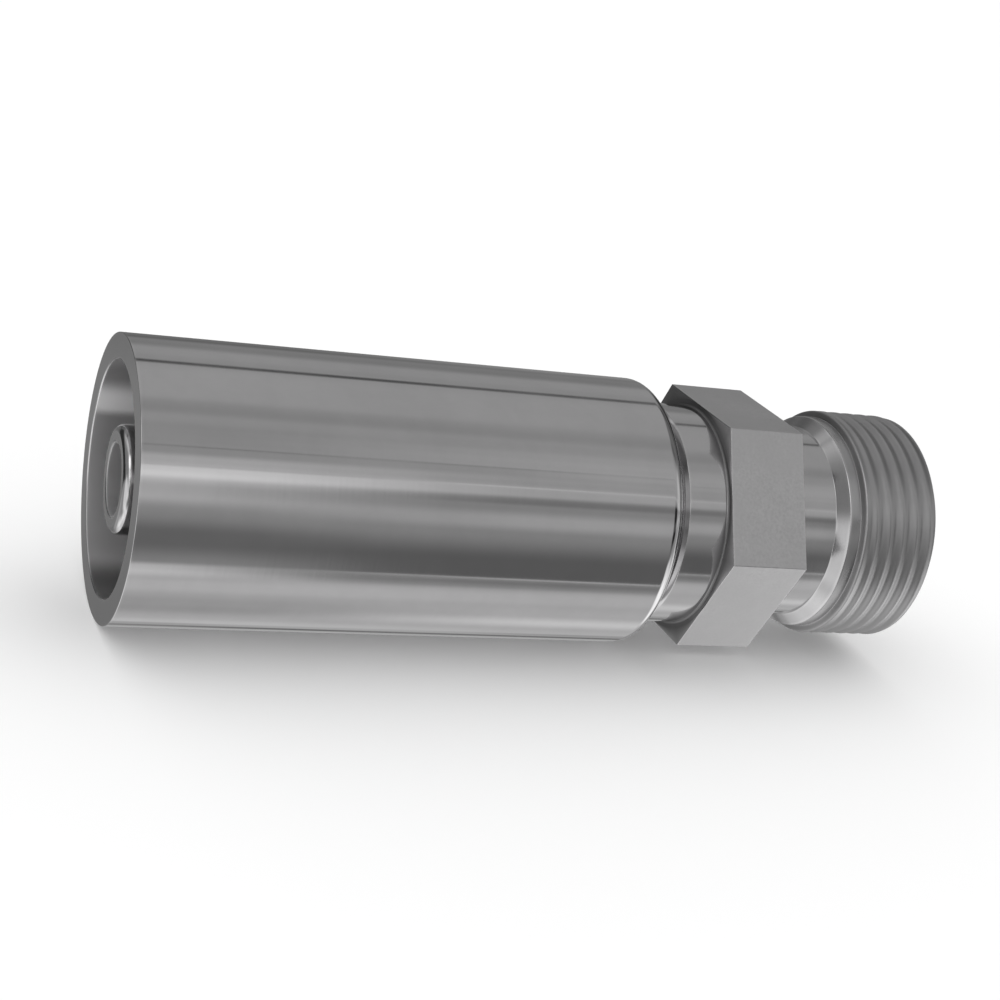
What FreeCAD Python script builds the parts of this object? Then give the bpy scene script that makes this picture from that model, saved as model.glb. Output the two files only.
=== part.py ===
import FreeCAD, Part

# Crimp hose fitting: a smooth crimp sleeve swaged on to a one-piece turned nipple, which has a barbed tail,
# a collar, a hexagon and a male metric thread with a 24 degree cone inside.
#
# Frame: +X runs along the fitting's axis from the hose end to the threaded end, and +Z is up. The origin is on
# the axis, in the plane of the hexagon's hose-side face. The fitting lies on its sleeve, with two of the
# hexagon's flats level. All lengths are in millimetres.

import math
import os

from FreeCAD import Vector

os.makedirs("parts", exist_ok=True)

# ---- crimp sleeve -------------------------------------------------------------------------------------------
SLEEVE_R = 12.5  # plain outside, 25 mm across
SLEEVE_BORE_R = 10.22  # takes a hose of about 19.5 mm
MOUTH_X = -54.36  # open end
SLEEVE_END_X = -5.45  # closed end, at the nipple's collar
SLEEVE_END_ROUND = 2.0  # rounded outer corner of the closed end
MOUTH_BREAK = 0.1  # broken inner edge of the mouth
SLEEVE_FLOOR_X = -9.3  # inner face of the closed end
TOOTH_FIRST_X = -46.0  # gripping ridges round the inside
TOOTH_PITCH = 5.2
TOOTH_COUNT = 6
TOOTH_R = 9.75
TOOTH_TIP = 0.9
TOOTH_FOOT = 2.1

# ---- nipple, hose side --------------------------------------------------------------------------------------
TIP_X = -54.01  # end of the tail, almost flush with the sleeve's mouth
TAIL_R = 4.75
TAIL_NOSE = 1.0  # rounded nose of the tail
BARB_ROOT_R = 4.33
BARB_FIRST_X = -47.4
BARB_PITCH = 3.3
BARB_COUNT = 10
BARB_LAND = 0.5
FLOW_R = 3.1  # flow bore
FLOW_BREAK = 0.1
STOP_COLLAR_R = 9.4  # collar that keeps the sleeve from sliding back
STOP_COLLAR_X = -11.5
GROOVE_R = 8.6  # groove that the sleeve's closed end is swaged into
SEAT_CONE = 1.0  # 45 degree seat at the groove's other end
NECK_R = 9.6
COLLAR_STEP_X = -4.33
COLLAR_R = 10.43
COLLAR_CHAMFER = 0.33
COLLAR_FILLET = 0.55

# ---- hexagon ------------------------------------------------------------------------------------------------
HEX_AF = 22.0
HEX_LEN = 7.7

# ---- nipple, thread side ------------------------------------------------------------------------------------
RELIEF_R = 9.27
RELIEF_FILLET = 0.4
RELIEF_X = 12.25
LEAD_R = 10.35
LEAD_X0 = 13.2
LEAD_X1 = 14.3
THREAD_R = 11.0  # outside of the M22 x 1.5 thread
THREAD_X0 = 14.55
THREAD_X1 = 22.24
END_R = 10.03
END_X = 23.0
CONE_R = 8.15  # mouth of the 24 degree sealing cone
SOCKET_R = 7.0  # socket for a 14 mm tube
SOCKET_X = 15.0  # tube stop
CONE_X = END_X - (CONE_R - SOCKET_R) / math.tan(math.radians(12))
STEP_R = 5.0  # bore behind the tube stop
STEP_X = 12.6
STEP_TAPER = (STEP_R - FLOW_R) / math.tan(math.radians(59))  # drill point down to the flow bore


def half_plane(x, r):
    return Vector(x, 0, r)


def outline(points):
    """Closed outline through (x, r) points. A third value rounds that corner to its radius."""
    n = len(points)
    corners = []
    for i, p in enumerate(points):
        if len(p) == 2:
            corners.append((p, None, p))
            continue
        x, r, rad = p
        before, after = points[i - 1], points[(i + 1) % n]
        u = Vector(before[0] - x, before[1] - r, 0).normalize()
        v = Vector(after[0] - x, after[1] - r, 0).normalize()
        half = u.getAngle(v) / 2
        reach = rad / math.tan(half)
        w = (u + v).normalize()
        cx, cr = x + w.x * rad / math.sin(half), r + w.y * rad / math.sin(half)
        corners.append(
            (
                (x + u.x * reach, r + u.y * reach),
                (cx - w.x * rad, cr - w.y * rad),
                (x + v.x * reach, r + v.y * reach),
            )
        )
    edges = []
    for i, (start, middle, end) in enumerate(corners):
        if middle is not None:
            edges.append(Part.Arc(half_plane(*start), half_plane(*middle), half_plane(*end)).toShape())
        onward = corners[(i + 1) % n][0]
        if math.hypot(onward[0] - end[0], onward[1] - end[1]) > 1e-6:
            edges.append(Part.LineSegment(half_plane(*end[:2]), half_plane(*onward[:2])).toShape())
    return Part.Wire(edges)


def turned(points):
    """Solid of revolution about the X axis."""
    solid = Part.Face(outline(points)).revolve(Vector(0, 0, 0), Vector(1, 0, 0), 360)
    if solid.Volume < 0:
        solid.reverse()
    return solid


# ---- crimp sleeve: a turned cup, open at the hose end ---------------------------------------------------------
seat_x = SLEEVE_END_X - SEAT_CONE
sleeve = [
    (MOUTH_X, SLEEVE_BORE_R + MOUTH_BREAK),
    (MOUTH_X + MOUTH_BREAK, SLEEVE_BORE_R),
]
for i in range(TOOTH_COUNT):
    x = TOOTH_FIRST_X + i * TOOTH_PITCH
    sleeve += [
        (x, SLEEVE_BORE_R),
        (x + TOOTH_FOOT - TOOTH_TIP, TOOTH_R),
        (x + TOOTH_FOOT, TOOTH_R),
        (x + TOOTH_FOOT + 0.15, SLEEVE_BORE_R),
    ]
sleeve += [
    (SLEEVE_FLOOR_X, SLEEVE_BORE_R, 0.5),
    (SLEEVE_FLOOR_X, GROOVE_R),
    (seat_x, GROOVE_R),
    (SLEEVE_END_X, GROOVE_R + SEAT_CONE),
    (SLEEVE_END_X, SLEEVE_R, SLEEVE_END_ROUND),
    (MOUTH_X, SLEEVE_R, 0.08),
]
sleeve_body = turned(sleeve)

# ---- nipple: one piece, turned from hexagon bar ---------------------------------------------------------------
core_r = FLOW_R - 1.0
nipple = [
    (TIP_X, core_r),
    (TIP_X, TAIL_R, TAIL_NOSE),
    (BARB_FIRST_X - 1.2, TAIL_R),
    (BARB_FIRST_X, BARB_ROOT_R),
]
for i in range(BARB_COUNT):
    x = BARB_FIRST_X + (i + 1) * BARB_PITCH
    nipple += [(x - BARB_LAND, TAIL_R), (x, TAIL_R)]
    if i < BARB_COUNT - 1:
        nipple.append((x + 0.12, BARB_ROOT_R))
nipple.pop()  # the last barb's land runs on into the plain tail
nipple += [
    (STOP_COLLAR_X, TAIL_R, 0.8),
    (STOP_COLLAR_X, STOP_COLLAR_R, 0.3),
    (SLEEVE_FLOOR_X, STOP_COLLAR_R),
    (SLEEVE_FLOOR_X, GROOVE_R),
    (seat_x, GROOVE_R),
    (seat_x + NECK_R - GROOVE_R, NECK_R),
    (COLLAR_STEP_X, NECK_R),
    (COLLAR_STEP_X, COLLAR_R - COLLAR_CHAMFER),
    (COLLAR_STEP_X + COLLAR_CHAMFER, COLLAR_R),
    (0.0, COLLAR_R, COLLAR_FILLET),
    (0.0, HEX_AF / 2 - 0.02),
    (HEX_LEN, HEX_AF / 2 - 0.02),
    (HEX_LEN, RELIEF_R, RELIEF_FILLET),
    (RELIEF_X, RELIEF_R, 0.3),
    (LEAD_X0, LEAD_R),
    (LEAD_X1, LEAD_R),
    (THREAD_X0, THREAD_R),
    (THREAD_X1, THREAD_R),
    (END_X, END_R),
    (END_X, core_r),
]
corner_r = HEX_AF / 2 / math.cos(math.radians(30))
corners = [
    Vector(0, corner_r * math.cos(math.radians(60 * k)), corner_r * math.sin(math.radians(60 * k)))
    for k in range(7)
]
hexagon = Part.Face(Part.makePolygon(corners)).extrude(Vector(HEX_LEN, 0, 0))
bore = turned(
    [
        (TIP_X - 1, 0),
        (TIP_X - 1, FLOW_R + FLOW_BREAK),
        (TIP_X, FLOW_R + FLOW_BREAK),
        (TIP_X + FLOW_BREAK, FLOW_R),
        (STEP_X - STEP_TAPER, FLOW_R),
        (STEP_X, STEP_R),
        (SOCKET_X, STEP_R),
        (SOCKET_X, SOCKET_R),
        (CONE_X, SOCKET_R),
        (END_X, CONE_R),
        (END_X + 1, CONE_R),
        (END_X + 1, 0),
    ]
)
nipple_body = turned(nipple).fuse(hexagon).cut(bore).removeSplitter()

for name, shape in (("crimp_sleeve", sleeve_body), ("nipple", nipple_body)):
    solid = shape.Solids[0]
    solid.exportStep(f"parts/{name}.step")
    box = solid.BoundBox
    print(
        f"{name}: {len(shape.Solids)} solid, valid {solid.isValid()}, {solid.Volume:.1f} mm3, "
        f"x {box.XMin:.2f} to {box.XMax:.2f}, centre of mass x {solid.CenterOfMass.x:.2f}"
    )
print(f"shared volume {sleeve_body.common(nipple_body).Volume:.6f} mm3")
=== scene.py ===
import math

import bpy
import numpy as np
from mathutils import Matrix, Vector


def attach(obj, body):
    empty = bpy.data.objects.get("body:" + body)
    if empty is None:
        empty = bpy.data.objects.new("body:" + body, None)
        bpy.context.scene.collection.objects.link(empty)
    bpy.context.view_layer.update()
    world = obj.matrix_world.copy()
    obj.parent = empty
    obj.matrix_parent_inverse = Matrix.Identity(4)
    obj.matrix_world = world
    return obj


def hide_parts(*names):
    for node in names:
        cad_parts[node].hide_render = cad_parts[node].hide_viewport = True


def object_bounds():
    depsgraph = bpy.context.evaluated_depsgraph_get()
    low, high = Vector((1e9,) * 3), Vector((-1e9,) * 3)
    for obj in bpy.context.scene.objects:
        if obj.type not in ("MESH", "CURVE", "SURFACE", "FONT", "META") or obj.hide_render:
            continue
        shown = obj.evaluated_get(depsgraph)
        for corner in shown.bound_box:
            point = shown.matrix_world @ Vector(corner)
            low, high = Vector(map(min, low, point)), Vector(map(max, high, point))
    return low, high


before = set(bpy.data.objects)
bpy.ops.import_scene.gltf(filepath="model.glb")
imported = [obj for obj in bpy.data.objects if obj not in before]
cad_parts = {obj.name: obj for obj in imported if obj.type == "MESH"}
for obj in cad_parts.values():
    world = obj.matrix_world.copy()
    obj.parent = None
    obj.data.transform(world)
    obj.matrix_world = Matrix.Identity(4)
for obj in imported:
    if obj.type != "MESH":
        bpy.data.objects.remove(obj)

scene = bpy.context.scene
cad_low, cad_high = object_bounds()

# ---------------------------------------------------------------------------------------------------------------
# Camera, at the photograph's viewing angle.
# ---------------------------------------------------------------------------------------------------------------
cam_data = bpy.data.cameras.new("camera")
cam_data.sensor_width = 36.0
cam_data.lens = 66.7
cam_data.clip_start = 0.005
cam_data.clip_end = 50.0
cam_data.shift_x = -0.00043
cam_data.shift_y = -0.00049
cam = bpy.data.objects.new("camera", cam_data)
scene.collection.objects.link(cam)
right = Vector((0.919385, -0.342743, 0.193023))
up = Vector((-0.056399, 0.370777, 0.927008))
back = Vector((-0.389294, -0.863164, 0.321556))
cam.matrix_world = Matrix(
    (
        (right.x, up.x, back.x, -0.084911),
        (right.y, up.y, back.y, -0.147722),
        (right.z, up.z, back.z, 0.055328),
        (0, 0, 0, 1),
    )
)
scene.camera = cam

# ---------------------------------------------------------------------------------------------------------------
# Turned profiles. A corner is (x, r, fillet radius) in millimetres. The outline runs along the outside towards +X
# and comes back along the inside, so the metal is always on its right.
# ---------------------------------------------------------------------------------------------------------------
GUARD = 0.22  # how far worn brightness reaches from an edge


def rounded(corners, closed=True):
    """Points (x, r, nx, nr, edge) of an outline with filleted corners."""
    pts = [np.array(c[:2], float) for c in corners]
    rad = [c[2] if len(c) > 2 else 0.05 for c in corners]
    n = len(pts)
    out = []
    ends = []
    for i in range(n):
        a, p, b = pts[i - 1], pts[i], pts[(i + 1) % n]
        if not closed and i in (0, n - 1):
            ends.append((p, p, None))
            continue
        t0, t1 = (p - a) / np.linalg.norm(p - a), (b - p) / np.linalg.norm(b - p)
        turn = math.atan2(t0[0] * t1[1] - t0[1] * t1[0], float(t0 @ t1))
        reach = min(rad[i] * math.tan(abs(turn) / 2), 0.45 * np.linalg.norm(p - a), 0.45 * np.linalg.norm(b - p))
        rho = reach / math.tan(abs(turn) / 2)
        n0 = np.array((-t0[1], t0[0]))
        side = 1.0 if turn < 0 else -1.0
        start = p - t0 * reach
        centre = start - side * rho * n0
        m = int(np.clip(math.ceil(abs(turn) / math.radians(12 if rho > 0.3 else 30)), 2, 12))
        arc = []
        for k in range(m + 1):
            c, s = math.cos(turn * k / m), math.sin(turn * k / m)
            nk = np.array((n0[0] * c - n0[1] * s, n0[0] * s + n0[1] * c))
            q = centre + side * rho * nk
            worn = 1.0 if (turn < 0 and rho < 0.7) else 0.0
            arc.append((q[0], q[1], nk[0], nk[1], worn))
        ends.append((arc[0][:2], arc[-1][:2], arc))
    for i in range(n if closed else n - 1):
        arc = ends[i][2]
        if arc:
            out += arc
        e = np.array(ends[i][1], float)
        s = np.array(ends[(i + 1) % n][0], float)
        length = np.linalg.norm(s - e)
        if length < 1e-6:
            continue
        t = (s - e) / length
        nn = (-t[1], t[0])
        if not arc:
            out.append((e[0], e[1], nn[0], nn[1], 0.0))
        steps = []
        if length > 3 * GUARD:
            inner = length - 2 * GUARD
            k = max(1, int(math.ceil(inner / 4.0)))
            steps = [GUARD + inner * j / k for j in range(k + 1)]
        elif length > 0.3:
            steps = [length / 2]
        out += [(e[0] + t[0] * d, e[1] + t[1] * d, nn[0], nn[1], 0.0) for d in steps]
    if not closed:
        p = pts[-1]
        out.append((p[0], p[1], out[-1][2], out[-1][3], 0.0))
    return out


def make_mesh(name, X, Y, Z, N, attrs):
    """Closed mesh from a grid of rings. Each array is rings x points round, and both directions wrap."""
    n, m = X.shape
    co = np.stack((X, Y, Z), -1).reshape(-1, 3) * 0.001
    i, j = np.meshgrid(np.arange(n), np.arange(m), indexing="ij")
    i2, j2 = (i + 1) % n, (j + 1) % m
    quads = np.stack((i * m + j, i2 * m + j, i2 * m + j2, i * m + j2), -1).reshape(-1, 4)
    a, b, c, d = (co[quads[:, k]] for k in range(4))
    volume = (np.einsum("ij,ij->i", a, np.cross(b, c)) + np.einsum("ij,ij->i", a, np.cross(c, d))).sum()
    if volume < 0:
        quads = quads[:, ::-1]
    mesh = bpy.data.meshes.new(name)
    mesh.vertices.add(len(co))
    mesh.vertices.foreach_set("co", co.astype(np.float32).ravel())
    mesh.loops.add(quads.size)
    mesh.loops.foreach_set("vertex_index", quads.astype(np.int32).ravel())
    mesh.polygons.add(len(quads))
    mesh.polygons.foreach_set("loop_start", np.arange(0, quads.size, 4, dtype=np.int32))
    mesh.polygons.foreach_set("loop_total", np.full(len(quads), 4, np.int32))
    mesh.update(calc_edges=True)
    mesh.validate()
    mesh.polygons.foreach_set("use_smooth", np.ones(len(mesh.polygons), bool))
    for key, value in attrs.items():
        attribute = mesh.attributes.new(key, "FLOAT", "POINT")
        attribute.data.foreach_set("value", np.broadcast_to(value, X.shape).astype(np.float32).ravel())
    N = N.reshape(-1, 3)
    N = N / np.linalg.norm(N, axis=1)[:, None]
    mesh.normals_split_custom_set_from_vertices(N.astype(np.float32).tolist())
    obj = bpy.data.objects.new(name, mesh)
    scene.collection.objects.link(obj)
    return obj


def arc_length(x, r):
    steps = np.hypot(np.diff(x), np.diff(r))
    return np.concatenate(([0.0], np.cumsum(steps)))


# ---------------------------------------------------------------------------------------------------------------
# Crimp sleeve
# ---------------------------------------------------------------------------------------------------------------
MOUTH_X, SLEEVE_END_X, FLOOR_X = -54.36, -5.45, -9.3
SLEEVE_R, BORE_R, GROOVE_R, NECK_R = 12.5, 10.22, 8.6, 9.6
sleeve = [
    (MOUTH_X, SLEEVE_R, 0.06),
    (SLEEVE_END_X, SLEEVE_R, 2.0),
    (SLEEVE_END_X, NECK_R, 0.12),
    (SLEEVE_END_X - 1.0, GROOVE_R, 0.1),
    (FLOOR_X, GROOVE_R, 0.05),
    (FLOOR_X, BORE_R, 0.5),
]
for k in reversed(range(6)):
    x = -46.0 + 5.2 * k
    sleeve += [(x + 2.25, BORE_R, 0.1), (x + 2.1, 9.75, 0.08), (x + 1.2, 9.75, 0.12), (x, BORE_R, 0.3)]
sleeve += [(MOUTH_X + 0.1, BORE_R, 0.04), (MOUTH_X, BORE_R + 0.1, 0.04)]
P = np.array(rounded(sleeve))
theta = np.linspace(0, 2 * math.pi, 240, endpoint=False)
ones = np.ones((len(P), len(theta)))
c, s = np.cos(theta)[None], np.sin(theta)[None]
sleeve_obj = make_mesh(
    "sleeve_shell",
    P[:, :1] * ones,
    P[:, 1:2] * c,
    P[:, 1:2] * s,
    np.stack((P[:, 2:3] * ones, P[:, 3:4] * c, P[:, 3:4] * s), -1),
    {
        "turn": arc_length(P[:, 0], P[:, 1])[:, None],
        "edge": P[:, 4:5],
        "inside": ((P[:, 1] < 10.3) & (P[:, 0] < -7.0))[:, None].astype(float),
    },
)

# ---------------------------------------------------------------------------------------------------------------
# Nipple: barbed tail, stop collar, groove, collar, hexagon, relief, M22 x 1.5 thread, 24 degree cone
# ---------------------------------------------------------------------------------------------------------------
TIP_X, TAIL_R, BARB_ROOT = -54.01, 4.75, 4.33
HEX_HALF, HEX_LEN, HEX_BREAK, HEX_CORNER = 11.0, 7.7, 0.06, 0.12
COLLAR_R, RELIEF_R, LEAD_R = 10.43, 9.27, 10.35
THREAD_R, PITCH, DEPTH = 11.0, 1.5, 0.2  # shallower than the standard 0.92: the photographed thread is soft
END_X, END_R = 23.0, 10.03

before_hex = [
    (TIP_X, 3.2, 0.04),
    (TIP_X, TAIL_R, 1.0),
    (-48.6, TAIL_R, 0.3),
    (-47.4, BARB_ROOT, 0.25),
]
for k in range(10):
    x = -47.4 + 3.3 * (k + 1)
    if k < 9:
        before_hex += [(x - 0.5, TAIL_R, 0.15), (x, TAIL_R, 0.06), (x + 0.12, BARB_ROOT, 0.05)]
before_hex += [
    (-47.4 + 33.0 - 0.5, TAIL_R, 0.15),
    (-11.5, TAIL_R, 0.8),
    (-11.5, 9.4, 0.3),
    (FLOOR_X, 9.4, 0.06),
    (FLOOR_X, GROOVE_R, 0.05),
    (SLEEVE_END_X - 1.0, GROOVE_R, 0.05),
    (SLEEVE_END_X, NECK_R, 0.05),
    (-4.33, NECK_R, 0.08),
    (-4.33, COLLAR_R - 0.33, 0.04),
    (-4.0, COLLAR_R, 0.06),
    (0.0, COLLAR_R, 0.55),
    (0.0, 10.99, 0.0),
]
after_hex = [
    (HEX_LEN, 9.9, 0.0),
    (HEX_LEN, RELIEF_R, 0.4),
    (12.25, RELIEF_R, 0.1),
    (13.2, LEAD_R, 0.22),
    (14.3, LEAD_R, 0.05),
    (14.55, THREAD_R, 0.25),
    (22.24, THREAD_R, 0.1),
    (END_X, END_R, 0.08),
    (END_X, 8.15, 0.08),
    (17.59, 7.0, 0.06),
    (15.0, 7.0, 0.1),
    (15.0, 5.0, 0.06),
    (12.6, 5.0, 0.1),
    (11.458, 3.1, 0.1),
    (TIP_X + 0.1, 3.1, 0.04),
    (TIP_X, 3.2, 0.04),
]


def open_part(corners, first, last):
    """The rounded outline of a stretch of a longer outline, from after its first corner to before its last one."""
    pts = rounded(corners, closed=False)
    return pts[first : len(pts) - last]


# hexagon's outline, with its six corners just broken: position, direction and outward normal of each point round it
per_flat, per_corner = 30, 6
hex_y, hex_z, hex_ny, hex_nz = [], [], [], []
for k in range(6):
    a0 = math.radians(60 * k)
    centre = (HEX_HALF - HEX_CORNER) / math.cos(math.radians(30))
    for q in range(per_corner + 1):
        b = a0 + math.radians(-30 + 60 * q / per_corner)
        hex_y.append(centre * math.cos(a0) + HEX_CORNER * math.cos(b))
        hex_z.append(centre * math.sin(a0) + HEX_CORNER * math.sin(b))
        hex_ny.append(math.cos(b))
        hex_nz.append(math.sin(b))
    start = np.array((hex_y[-1], hex_z[-1]))
    a1 = math.radians(60 * (k + 1))
    b = a1 - math.radians(30)
    end = np.array((centre * math.cos(a1) + HEX_CORNER * math.cos(b), centre * math.sin(a1) + HEX_CORNER * math.sin(b)))
    for q in range(1, per_flat):
        p = start + (end - start) * q / per_flat
        hex_y.append(p[0])
        hex_z.append(p[1])
        hex_ny.append(math.cos(b))
        hex_nz.append(math.sin(b))
hex_y, hex_z, hex_ny, hex_nz = (np.array(v) for v in (hex_y, hex_z, hex_ny, hex_nz))
theta = np.unwrap(np.arctan2(hex_z, hex_y))
c, s = np.cos(theta), np.sin(theta)
m = len(theta)

rows = []  # (x, y, z, nx, ny, nz, attributes) of each ring


def ring(x, r, nx, nr, **attrs):
    r = np.broadcast_to(r, (m,))
    rows.append((np.full(m, float(x)), r * c, r * s, np.full(m, float(nx)), nr * c, nr * s, attrs))


turn = 0.0
last_point = None


def advance(x, r):
    global turn, last_point
    if last_point is not None:
        turn += math.hypot(x - last_point[0], r - last_point[1])
    last_point = (x, r)
    return turn


first = rounded(before_hex, closed=False)
for x, r, nx, nr, worn in first[1:]:
    in_corner = min(-nx / 0.4, 1.0) if x > -0.6 and nx < 0 else 0.0
    ring(x, r, nx, nr, turn=advance(x, r), edge=worn, face=in_corner, corner=in_corner)

def end_face_ring(x, sign, circle_r, t):
    """A ring on the hexagon's end face, between its turned part and its outline."""
    y = (1 - t) * circle_r * c + t * (hex_y - HEX_BREAK * hex_ny)
    z = (1 - t) * circle_r * s + t * (hex_z - HEX_BREAK * hex_nz)
    attrs = {"turn": advance(x, 11.2), "edge": 0.0, "face": 1.0}
    rows.append((np.full(m, x), y, z, np.full(m, sign), np.zeros(m), np.zeros(m), attrs))


for x0, sign in ((0.0, -1.0), (HEX_LEN, 1.0)):
    if sign < 0:
        end_face_ring(x0, sign, 10.99, 0.9)
    order = range(4) if sign < 0 else range(3, -1, -1)
    for k in order:
        beta = math.radians(90 - 30 * k)  # from the end face round to the flat
        inset = HEX_BREAK * (1 - math.cos(beta))
        x = x0 - sign * HEX_BREAK * (1 - math.sin(beta))
        rows.append(
            (
                np.full(m, x),
                hex_y - inset * hex_ny,
                hex_z - inset * hex_nz,
                np.full(m, sign * math.sin(beta)),
                hex_ny * math.cos(beta),
                hex_nz * math.cos(beta),
                {"turn": advance(x, 11.5), "edge": 0.6, "flat": k / 3, "face": float(k == 0)},
            )
        )
        guard = 0.2
        if k == 3:
            gx = x0 - sign * (HEX_BREAK + guard)
            row = (np.full(m, gx), hex_y, hex_z, np.zeros(m), hex_ny, hex_nz, {"turn": turn, "edge": 0.0, "flat": 1.0})
            if sign < 0:
                rows.append(row)
            else:
                rows.insert(len(rows) - 1, row)
end_face_ring(HEX_LEN, 1.0, 9.9, 0.9)

blank = rounded(after_hex, closed=False)
bx = np.array([p[0] for p in blank])
br = np.array([p[1] for p in blank])
outer_end = int(np.argmax((bx > END_X - 0.001) & (br < END_R + 0.5)))
THREAD_FROM, THREAD_TO = 14.34, 22.97


def blank_r(x):
    return np.interp(x, bx[: outer_end + 1], br[: outer_end + 1])


def thread_r(x, th):
    """Radius of the threaded stretch: a soft right-hand thread that runs out at the lead and through the end chamfer."""
    u = x / PITCH - th / (2 * math.pi)
    v = np.abs(u - np.round(u)) * PITCH
    swing = 0.5 - 0.5 * np.cos(2 * math.pi * v / PITCH)
    depth = DEPTH * swing * (1.15 - 0.15 * swing)
    fade = np.clip((x - 14.45) / 1.3, 0, 1)
    fade = fade * fade * (3 - 2 * fade)
    return np.minimum(blank_r(x), THREAD_R - fade * depth)


def thread_ring(x):
    X = np.full(m, x)
    r = thread_r(X, theta)
    e = 0.018
    dx = (thread_r(X + e, theta) - thread_r(X - e, theta)) / (2 * e)
    dt = (thread_r(X, theta + e / 11) - thread_r(X, theta - e / 11)) / (2 * e / 11)
    et_y, et_z = -s, c
    nx, ny, nz = -dx, c - dt / r * et_y, s - dt / r * et_z
    length = np.sqrt(nx**2 + ny**2 + nz**2)
    crest = np.clip((r - (THREAD_R - 0.12)) / 0.12, 0, 1)
    rows.append(
        (
            X,
            r * c,
            r * s,
            nx / length,
            ny / length,
            nz / length,
            {"turn": advance(x, 11.0), "edge": crest * 0.25, "thread": 1.0, "depth": np.clip((THREAD_R - r) / DEPTH, 0, 1)},
        )
    )


done_thread = False
for k, (x, r, nx, nr, worn) in enumerate(blank[:-1]):
    if k <= outer_end and THREAD_FROM < x < THREAD_TO:
        if not done_thread:
            for xt in np.linspace(THREAD_FROM + 0.03, THREAD_TO - 0.01, 140):
                thread_ring(float(xt))
            done_thread = True
        continue
    if k == 0:
        ring(x, r, 1.0, 0.0, turn=advance(x, r), edge=0.0)
        continue
    cone = 0.35 if (12.3 < x < 13.1 and r > 9.0) else 0.0
    lead = 0.6 if (13.2 < x < 14.7 and r > 9.0) else 0.0
    ring(x, r, nx, nr, turn=advance(x, r), edge=worn, bore=float(k > outer_end and r < 8.3), face=cone, thread=lead)

keys = ("turn", "edge", "flat", "thread", "depth", "bore", "face", "corner")
X, Y, Z, NX, NY, NZ = (np.array([row[k] for row in rows]) for k in range(6))
attrs = {key: np.array([np.broadcast_to(row[6].get(key, 0.0), (m,)) for row in rows]) for key in keys}
nipple_obj = make_mesh("nipple_turned", X, Y, Z, np.stack((NX, NY, NZ), -1), attrs)


# ---------------------------------------------------------------------------------------------------------------
# Materials
# ---------------------------------------------------------------------------------------------------------------
class Nodes:
    """Short names for the shader nodes that the materials and the world are made of."""

    def __init__(self, tree):
        self.tree = tree
        tree.nodes.clear()

    def new(self, kind, **props):
        node = self.tree.nodes.new(kind)
        for key, value in props.items():
            setattr(node, key, value)
        return node

    def put(self, socket, value):
        if isinstance(value, bpy.types.NodeSocket):
            self.tree.links.new(value, socket)
        else:
            socket.default_value = value

    def math(self, op, a, b=0.0, c=0.0, clamp=False):
        node = self.new("ShaderNodeMath", operation=op, use_clamp=clamp)
        for k, value in enumerate((a, b, c)):
            self.put(node.inputs[k], value)
        return node.outputs[0]

    def span(self, value, lo, hi, to_lo=0.0, to_hi=1.0, smooth=True):
        node = self.new("ShaderNodeMapRange", interpolation_type="SMOOTHSTEP" if smooth else "LINEAR", clamp=True)
        for k, x in enumerate((value, lo, hi, to_lo, to_hi)):
            self.put(node.inputs[k], x)
        return node.outputs[0]

    def attr(self, name):
        return self.new("ShaderNodeAttribute", attribute_name=name).outputs["Fac"]

    def noise(self, vector, scale, detail=2.0, rough=0.5, dims="3D", w=0.0):
        node = self.new("ShaderNodeTexNoise", noise_dimensions=dims)
        if dims != "1D":
            self.put(node.inputs["Vector"], vector)
        if dims in ("1D", "4D"):
            self.put(node.inputs["W"], w)
        node.inputs["Scale"].default_value = scale
        node.inputs["Detail"].default_value = detail
        node.inputs["Roughness"].default_value = rough
        return node.outputs["Fac"]

    def scaled(self, vector, x, y, z):
        node = self.new("ShaderNodeMapping")
        self.put(node.inputs["Vector"], vector)
        node.inputs["Scale"].default_value = (x, y, z)
        return node.outputs[0]

    def bump(self, height, distance, strength=1.0, normal=None):
        node = self.new("ShaderNodeBump")
        node.inputs["Distance"].default_value = distance
        self.put(node.inputs["Strength"], strength)
        self.put(node.inputs["Height"], height)
        if normal is not None:
            self.put(node.inputs["Normal"], normal)
        return node.outputs[0]


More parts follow.
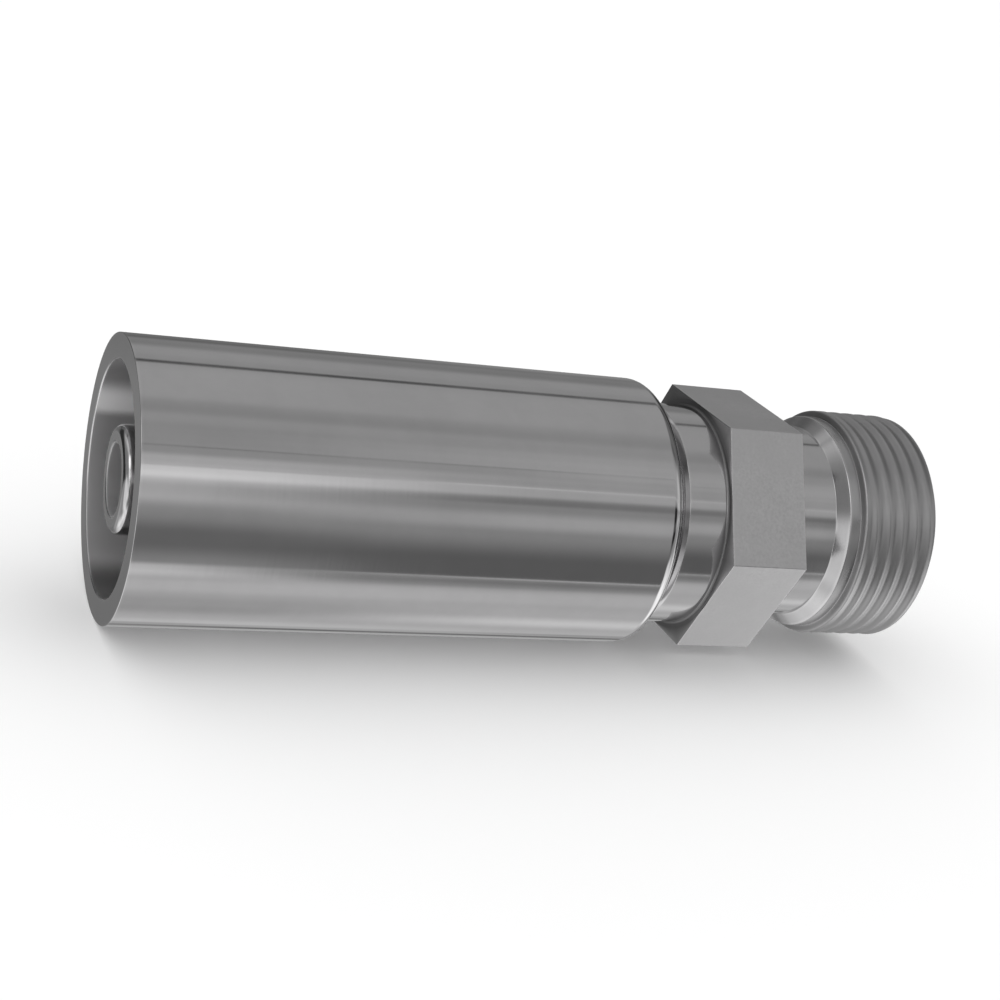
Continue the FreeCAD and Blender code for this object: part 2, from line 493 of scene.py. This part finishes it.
def steel(name, base, rough, hexagon=False):
    mat = bpy.data.materials.new(name)
    mat.use_nodes = True
    n = Nodes(mat.node_tree)
    place = n.new("ShaderNodeTexCoord").outputs["Object"]
    turn_mm, edge = n.attr("turn"), n.attr("edge")

    # lathe marks follow the turned profile, so they ring the cylinders and the end faces alike
    marks = n.noise(None, 9.0, 3.0, 0.6, "1D", turn_mm)
    feed = n.noise(None, 2.2, 2.0, 0.5, "1D", turn_mm)
    # plating: soft cloudy tone and a few brighter or duller patches
    cloud = n.noise(place, 120.0, 4.0, 0.55)
    patch = n.noise(place, 420.0, 3.0, 0.6)
    # fine lengthwise rub marks from handling, long in X and thin round the barrel
    rub = n.noise(n.scaled(place, 22.0, 900.0, 900.0), 1.0, 2.0, 0.5)
    rub = n.span(rub, 0.62, 0.74)
    grain = n.noise(place, 3600.0, 2.0, 0.6)

    flat = n.attr("flat") if hexagon else 0.0
    thread = n.attr("thread") if hexagon else 0.0
    depth = n.attr("depth") if hexagon else 0.0
    bore = n.attr("bore") if hexagon else n.attr("inside")
    face = n.attr("face") if hexagon else 0.0

    tone = n.math("ADD", n.span(cloud, 0.3, 0.7, -0.012, 0.012), n.span(patch, 0.35, 0.65, -0.006, 0.006))
    tone = n.math("ADD", tone, n.math("MULTIPLY", edge, 0.04))
    painted_highlight_band = 0.0
    if not hexagon:
        # inside the mouth: a painted highlight band high on the wall, painted shade along the bottom and near the top,
        # and the rest of the wall painted lighter
        split = n.new("ShaderNodeSeparateXYZ")
        n.put(split.inputs[0], place)
        height = split.outputs[2]
        # painted highlight: a paler band high on the bore's wall
        painted_highlight_band = n.math("MULTIPLY", n.span(height, 0.0021, 0.0032), n.span(height, 0.0042, 0.0064, 1.0, 0.0))
        painted_highlight_band = n.math("MULTIPLY", painted_highlight_band, bore)
        # painted shade along the bottom of the bore and a little near its top, with the wall between painted lighter
        painted_light_and_shade = n.math("ADD", n.span(height, -0.0101, -0.0090, -0.34, 0.14), n.span(height, 0.005, 0.0078, 0.0, -0.24))
        tone = n.math("ADD", tone, n.math("MULTIPLY", bore, painted_light_and_shade))
        tone = n.math("ADD", tone, n.math("MULTIPLY", painted_highlight_band, 0.20))
    if hexagon:
        # faced ends of the hexagon, dull from the parting tool, and the cone: painted shade, darker; the fillet into
        # the hexagon: painted shade, darker still; the thread and its lead: painted shade, darker
        tone = n.math("SUBTRACT", tone, n.math("MULTIPLY", face, 0.10))
        # painted shade in the concave fillet between the collar and the hexagon
        tone = n.math("SUBTRACT", tone, n.math("MULTIPLY", n.attr("corner"), 0.25))
        # painted shade: the thread and its lead darker
        tone = n.math("SUBTRACT", tone, n.math("MULTIPLY", thread, 0.15))
        # the flats are drawn bar, a little grainy in places
        grainy = n.span(n.noise(place, 95.0, 2.0, 0.5), 0.42, 0.6, 0.25, 1.0)
        grainy = n.math("MULTIPLY", grainy, flat)
        tone = n.math("ADD", tone, n.math("MULTIPLY", grainy, n.span(grain, 0.3, 0.7, -0.045, 0.045, smooth=False)))
        # painted shade: the thread's grooves darker towards their roots
        tone = n.math("SUBTRACT", tone, n.math("MULTIPLY", depth, 0.03))
    level = n.math("ADD", tone, base)
    colour = n.new("ShaderNodeCombineColor")
    n.put(colour.inputs[0], level)
    n.put(colour.inputs[1], n.math("MULTIPLY", level, 0.992))
    n.put(colour.inputs[2], n.math("MULTIPLY", level, 1.0))

    gloss = n.math("ADD", rough, n.span(cloud, 0.3, 0.7, -0.01, 0.02))
    gloss = n.math("ADD", gloss, n.math("MULTIPLY", rub, 0.03))
    gloss = n.math("ADD", gloss, n.math("MULTIPLY", edge, 0.03))
    gloss = n.math("ADD", gloss, n.math("MULTIPLY", bore, 0.22))
    if hexagon:
        gloss = n.math("ADD", gloss, n.math("MULTIPLY", flat, 0.22))
        gloss = n.math("ADD", gloss, n.math("MULTIPLY", n.attr("corner"), 0.12))
        gloss = n.math("ADD", gloss, n.math("MULTIPLY", thread, 0.28))
        gloss = n.math("ADD", gloss, n.math("MULTIPLY", face, 0.20))
        gloss = n.math("ADD", gloss, n.math("MULTIPLY", grainy, n.span(grain, 0.3, 0.7, -0.05, 0.07, smooth=False)))

    turned = 1.0
    if hexagon:
        turned = n.math("SUBTRACT", 1.0, flat, clamp=True)
    normal = n.bump(marks, 0.0000004, turned)
    normal = n.bump(feed, 0.0000009, turned, normal)
    if hexagon:
        pits = n.noise(place, 1900.0, 3.0, 0.65)
        normal = n.bump(grain, 0.000010, grainy, normal)
        normal = n.bump(pits, 0.000018, grainy, normal)

    shader = n.new("ShaderNodeBsdfPrincipled")
    n.put(shader.inputs["Base Color"], colour.outputs[0])
    n.put(shader.inputs["Roughness"], gloss)
    n.put(shader.inputs["Normal"], normal)
    # the bores keep a dull, scattering skin of plating that the polished outside hasn't; the painted highlight band is
    # less metallic still
    skin = n.math("ADD", n.math("MULTIPLY", bore, 0.22), n.math("MULTIPLY", painted_highlight_band, 0.5))
    n.put(shader.inputs["Metallic"], n.math("SUBTRACT", 1.0, skin))
    out = n.new("ShaderNodeOutputMaterial")
    n.put(out.inputs["Surface"], shader.outputs[0])
    return mat


sleeve_obj.data.materials.append(steel("sleeve_steel", 0.56, 0.07))
nipple_obj.data.materials.append(steel("nipple_steel", 0.55, 0.10, hexagon=True))
for obj, node, slot in ((sleeve_obj, "crimp_sleeve", "sleeve_steel"), (nipple_obj, "nipple", "nipple_steel")):
    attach(obj, "root")
    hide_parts(node)

# ---------------------------------------------------------------------------------------------------------------
# Stage: pale floor, and a light tent of long strips and dark flags round the fitting, as for bright metal
# ---------------------------------------------------------------------------------------------------------------
floor_mesh = bpy.data.meshes.new("floor")
h = float(cad_low.z)
floor_mesh.from_pydata([(-8, -8, h), (8, -8, h), (8, 8, h), (-8, 8, h)], [], [(0, 1, 2, 3)])
floor = bpy.data.objects.new("floor", floor_mesh)
scene.collection.objects.link(floor)
floor_mat = bpy.data.materials.new("floor")
floor_mat.use_nodes = True
n = Nodes(floor_mat.node_tree)
shader = n.new("ShaderNodeBsdfPrincipled")
shader.inputs["Base Color"].default_value = (0.93, 0.93, 0.93, 1)
shader.inputs["Roughness"].default_value = 0.9
shader.inputs["Specular IOR Level"].default_value = 0.1
n.put(n.new("ShaderNodeOutputMaterial").inputs["Surface"], shader.outputs[0])
floor_mesh.materials.append(floor_mat)
floor.visible_glossy = False

world = bpy.data.worlds.new("studio")
scene.world = world
world.use_nodes = True
n = Nodes(world.node_tree)
direction = n.new("ShaderNodeTexCoord").outputs["Generated"]
xyz = n.new("ShaderNodeSeparateXYZ")
n.put(xyz.inputs[0], direction)
dx, dy, dz = xyz.outputs
# angle round the fitting's axis: 0 towards the front, 90 overhead, -90 underneath
around = n.math("MULTIPLY", n.math("ARCTAN2", dz, n.math("MULTIPLY", dy, -1.0)), 180 / math.pi)


def strip(centre, half, soft, near, far, x0=0.24, x1=0.43):
    """A long light, or a dark flag if its gain is negative, from one gain at its hose end to another at its thread end."""
    off = n.math("ABSOLUTE", n.math("WRAP", n.math("SUBTRACT", around, centre), 180.0, -180.0))
    window = n.span(off, half - soft / 2, half + soft / 2, 1.0, 0.0)
    return n.math("MULTIPLY", window, n.span(dx, x0, x1, near, far))


def band(a0, a1, b0, b1, near, far, x0=0.24, x1=0.43):
    """The same, with edges of its own: it rises from a0 to a1 and falls from b0 to b1."""
    window = n.math("MULTIPLY", n.span(around, a0, a1, 0.0, 1.0), n.span(around, b0, b1, 1.0, 0.0))
    return n.math("MULTIPLY", window, n.span(dx, x0, x1, near, far))


def cap(direction_to, half, soft, gain):
    """A round soft light, or a dark flag, in one direction."""
    to = Vector(direction_to).normalized()
    dot = n.new("ShaderNodeVectorMath", operation="DOT_PRODUCT")
    n.put(dot.inputs[0], direction)
    n.put(dot.inputs[1], to)
    lo, hi = (math.cos(math.radians(half + e)) for e in (soft / 2, -soft / 2))
    return n.span(dot.outputs["Value"], lo, hi, 0.0, gain)


parts = [
    strip(105, 24, 28, 0.12, 0.10),  # top light
    strip(127.4, 1.8, 1.8, -0.33, -0.28),  # gap between two top panels
    strip(143, 7, 9, 0.06, 0.05),
    strip(184, 14, 10, -0.18, -0.08),
    strip(163, 10, 10, -0.08, -0.10),
    strip(83, 5, 7, -0.05, -0.03),
    strip(71, 4, 6, 0.07, 0.06),
    strip(60, 6, 9, 0.04, 0.13),
    band(49.3, 49.9, 52, 60, 0.03, 0.10),
    strip(49.0, 0.5, 0.4, -0.12, -0.08),
    strip(46, 5, 6, 0.05, 0.07),
    strip(47, 3, 4, 0.0, 0.07, 0.38, 0.45),
    strip(38, 4, 5, 0.24, 0.09),
    strip(30, 4.5, 5, 0.30, 0.14),  # key strip
    band(20, 27, 33.0, 33.6, 0.22, 0.03),
    strip(33.8, 0.5, 0.5, -0.08, 0.22, 0.3, 0.4),
    strip(17, 11, 10, 0.24, 0.0, 0.2, 0.36),
    strip(23, 3.2, 3, 0.06, -0.11, 0.27, 0.42),
    strip(6, 6, 9, 0.05, 0.18),
    band(-45.0, -26, -18, -2, -0.16, 0.0, 0.24, 0.36),  # front flag
    band(-45.0, -44.3, -28, -4, 0.0, -0.20, 0.24, 0.36),
    strip(-45.6, 0.6, 0.6, 0.0, 0.24, 0.28, 0.36),
    band(-131, -127, -60, -46.4, 0.26, 0.26),  # pale sweep under the fitting
    band(-60, -51, -47.5, -42.5, 0.40, 0.0, 0.2, 0.32),
    strip(-52, 4, 5, 0.0, -0.13, 0.24, 0.36),
    strip(-66, 6, 8, 0.08, 0.06),
    strip(-88, 10, 14, -0.11, 0.04),
    strip(-99, 6, 12, -0.07, 0.26),
    strip(-120, 6, 8, 0.08, 0.0),
    strip(-125.5, 2.5, 4, -0.20, -0.12, 0.2, 0.3),
    strip(-125.5, 2.5, 4, 0.0, -0.10, 0.36, 0.43),
    strip(-133.5, 2.5, 3, -0.10, -0.19, 0.21, 0.27),
    strip(-143, 5, 5, 0.0, 0.12, 0.1, 0.2),
    # past the thread's end the tent is darker at the top and the front, and lighter underneath
    strip(125, 50, 24, 0.0, -0.26, 0.52, 0.66),
    strip(8, 19, 20, 0.0, -0.42, 0.52, 0.66),
    strip(-70, 42, 14, 0.0, 0.74, 0.53, 0.66),
    strip(8, 19, 20, 0.0, 0.34, 0.80, 0.90),
    strip(-70, 42, 14, 0.0, -0.60, 0.76, 0.90),
    strip(112, 60, 24, -0.14, 0.0, -0.15, 0.18),
    strip(12, 20, 18, -0.30, 0.0, -0.15, 0.18),
    strip(-75, 38, 16, 0.34, 0.0, -0.15, 0.18),
    # fill that the hexagon's end face throws on to the collar
    strip(12, 40, 24, 0.65, 0.0, -0.45, -0.40),
    strip(98, 42, 24, 0.40, 0.0, -0.45, -0.40),
    strip(-95, 28, 16, 0.24, 0.0, -0.45, -0.40),
]
tent = 0.36
for part in parts:
    tent = n.math("ADD", tent, part)
# the closed end of the tent, past the hose end, is plain: a dark wall with a round light in it
inside_tent = n.span(dx, -0.80, -0.55)
tent = n.math("ADD", n.math("MULTIPLY", inside_tent, tent), n.math("MULTIPLY", n.math("SUBTRACT", 1.0, inside_tent), 0.27))
for part in (
    cap((-0.19, 0.84, -0.51), 10, 8, -0.15),
    cap((-0.88, -0.40, -0.24), 25, 12, 0.66),
    strip(-181, 23.5, 4, -0.30, 0.0, -0.42, -0.3),
    strip(-140, 16, 5, 0.12, 0.0, -0.42, -0.3),
    strip(-92, 34, 24, 0.08, 0.0, -0.15, 0.1),
    cap((-0.50, -0.42, 0.76), 13, 8, 1.2),
    cap((0.86, -0.3, -0.4), 22, 16, 0.2),
    cap((0.94, -0.22, 0.25), 16, 12, 0.22),
):
    tent = n.math("ADD", tent, part)
tent = n.math("MAXIMUM", tent, 0.03)

rays = n.new("ShaderNodeLightPath")
open_sky = n.new("ShaderNodeBackground")
open_sky.inputs["Color"].default_value = (1, 1, 1, 1)
open_sky.inputs["Strength"].default_value = 1.12
in_tent = n.new("ShaderNodeBackground")
in_tent.inputs["Color"].default_value = (1, 1, 1, 1)
n.put(in_tent.inputs["Strength"], tent)
mix = n.new("ShaderNodeMixShader")
n.put(mix.inputs[0], rays.outputs["Is Glossy Ray"])
n.put(mix.inputs[1], open_sky.outputs[0])
n.put(mix.inputs[2], in_tent.outputs[0])
n.put(n.new("ShaderNodeOutputWorld").inputs["Surface"], mix.outputs[0])

scene.view_settings.view_transform = "Standard"
scene.view_settings.look = "None"
scene.view_settings.exposure = 0.0
scene.view_settings.gamma = 1.0

print("triangles", {o.name: 2 * len(o.data.polygons) for o in (sleeve_obj, nipple_obj)})
